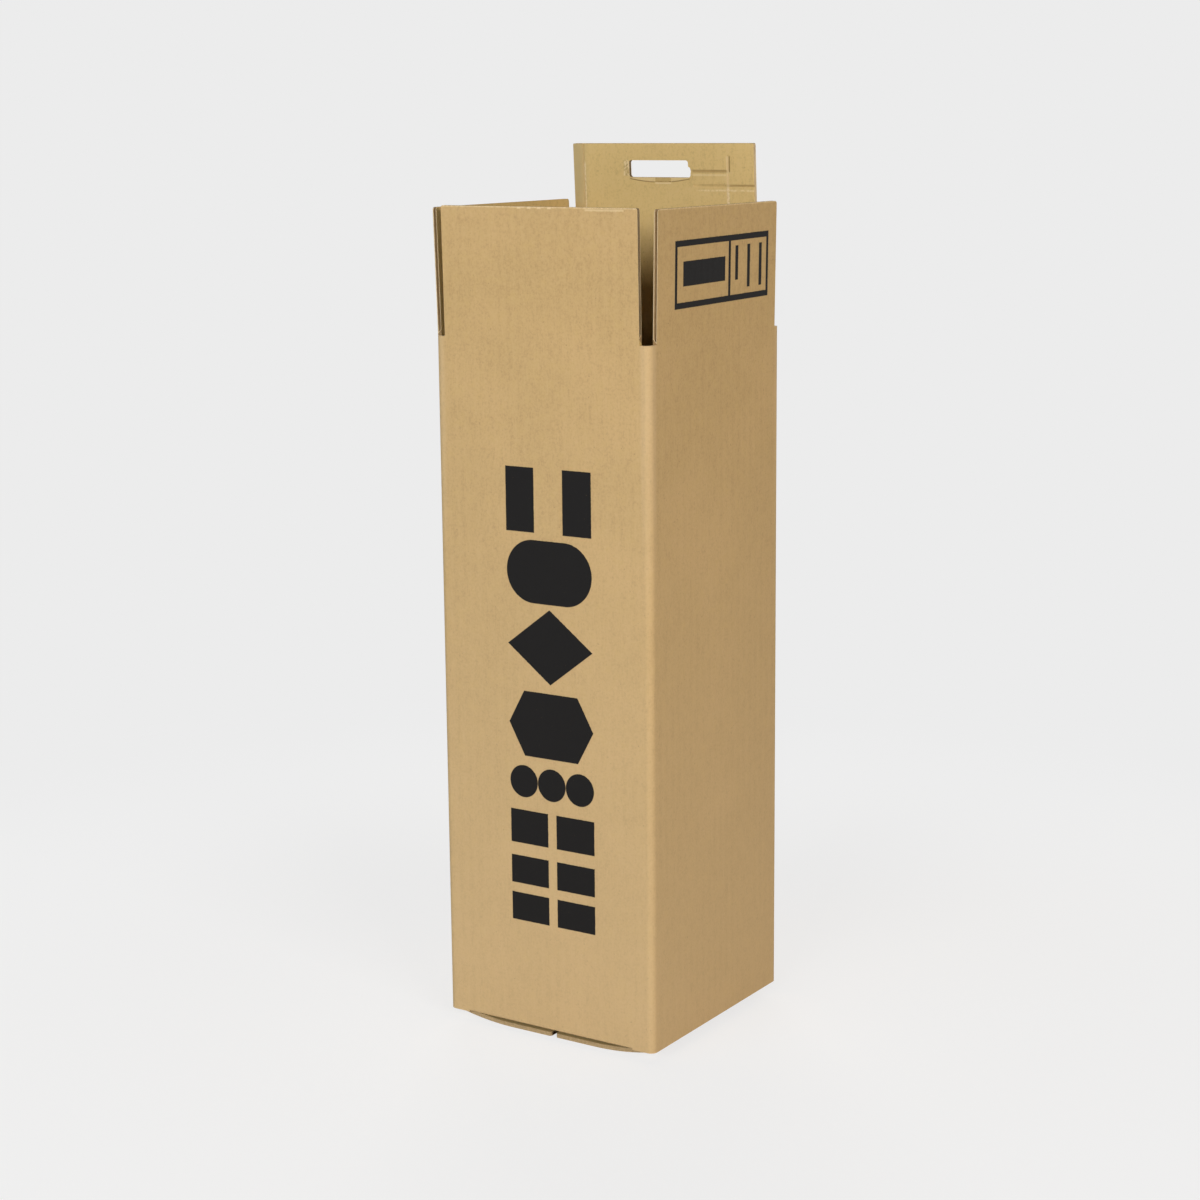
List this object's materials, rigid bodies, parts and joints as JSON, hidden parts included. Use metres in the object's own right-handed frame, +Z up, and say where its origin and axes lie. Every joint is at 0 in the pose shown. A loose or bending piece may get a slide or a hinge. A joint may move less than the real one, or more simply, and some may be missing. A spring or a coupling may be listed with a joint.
{
  "type": "bottle shipping box",
  "caption": "Tall square corrugated shipping box for a bottle, with hinged top flaps, a longer rear flap with a hand-hold slot, and bowed bottom flaps.",
  "frame": {"origin": "on the floor, under the middle of the box", "axes": "+Z up along the upright folds, -Y out of the printed front panel, +X to its right, towards the panel whose flap has the framed print"},
  "size_m": [0.1531, 0.1513, 0.5359],
  "materials": {
    "kraft_board": "matte kraft liner"
  },
  "bodies": {
    "carton": {"carton_body": "kraft_board"},
    "front_flap": {"front_top_flap": "kraft_board"},
    "left_flap": {"left_top_flap": "kraft_board"},
    "right_flap": {"right_top_flap": "kraft_board"},
    "rear_flap": {"rear_handle_flap": "kraft_board"},
    "left_foot_flap": {"left_bottom_flap": "kraft_board"},
    "right_foot_flap": {"right_bottom_flap": "kraft_board"}
  },
  "joints": [
    {"name": "front_flap_fold", "type": "hinge", "parent": "carton", "child": "front_flap", "pos_m": [0, -0.075, 0.4297], "axis": [-1, 0, 0], "range_deg": [-174, 91]},
    {"name": "rear_flap_fold", "type": "hinge", "parent": "carton", "child": "rear_flap", "pos_m": [0, 0.075, 0.4326], "axis": [1, 0, 0], "range_deg": [-178, 87]},
    {"name": "left_flap_fold", "type": "hinge", "parent": "carton", "child": "left_flap", "pos_m": [-0.075, 0, 0.4268], "axis": [0, 1, 0], "range_deg": [-173.5, 91.5]},
    {"name": "right_flap_fold", "type": "hinge", "parent": "carton", "child": "right_flap", "pos_m": [0.075, 0, 0.4268], "axis": [0, -1, 0], "range_deg": [-174.1, 90.9]},
    {"name": "left_foot_fold", "type": "hinge", "parent": "carton", "child": "left_foot_flap", "pos_m": [-0.075, 0, 0.0058], "axis": [0, 1, 0], "range_deg": [0, 250]},
    {"name": "right_foot_fold", "type": "hinge", "parent": "carton", "child": "right_foot_flap", "pos_m": [0.075, 0, 0.0058], "axis": [0, -1, 0], "range_deg": [0, 250]}
  ]
}
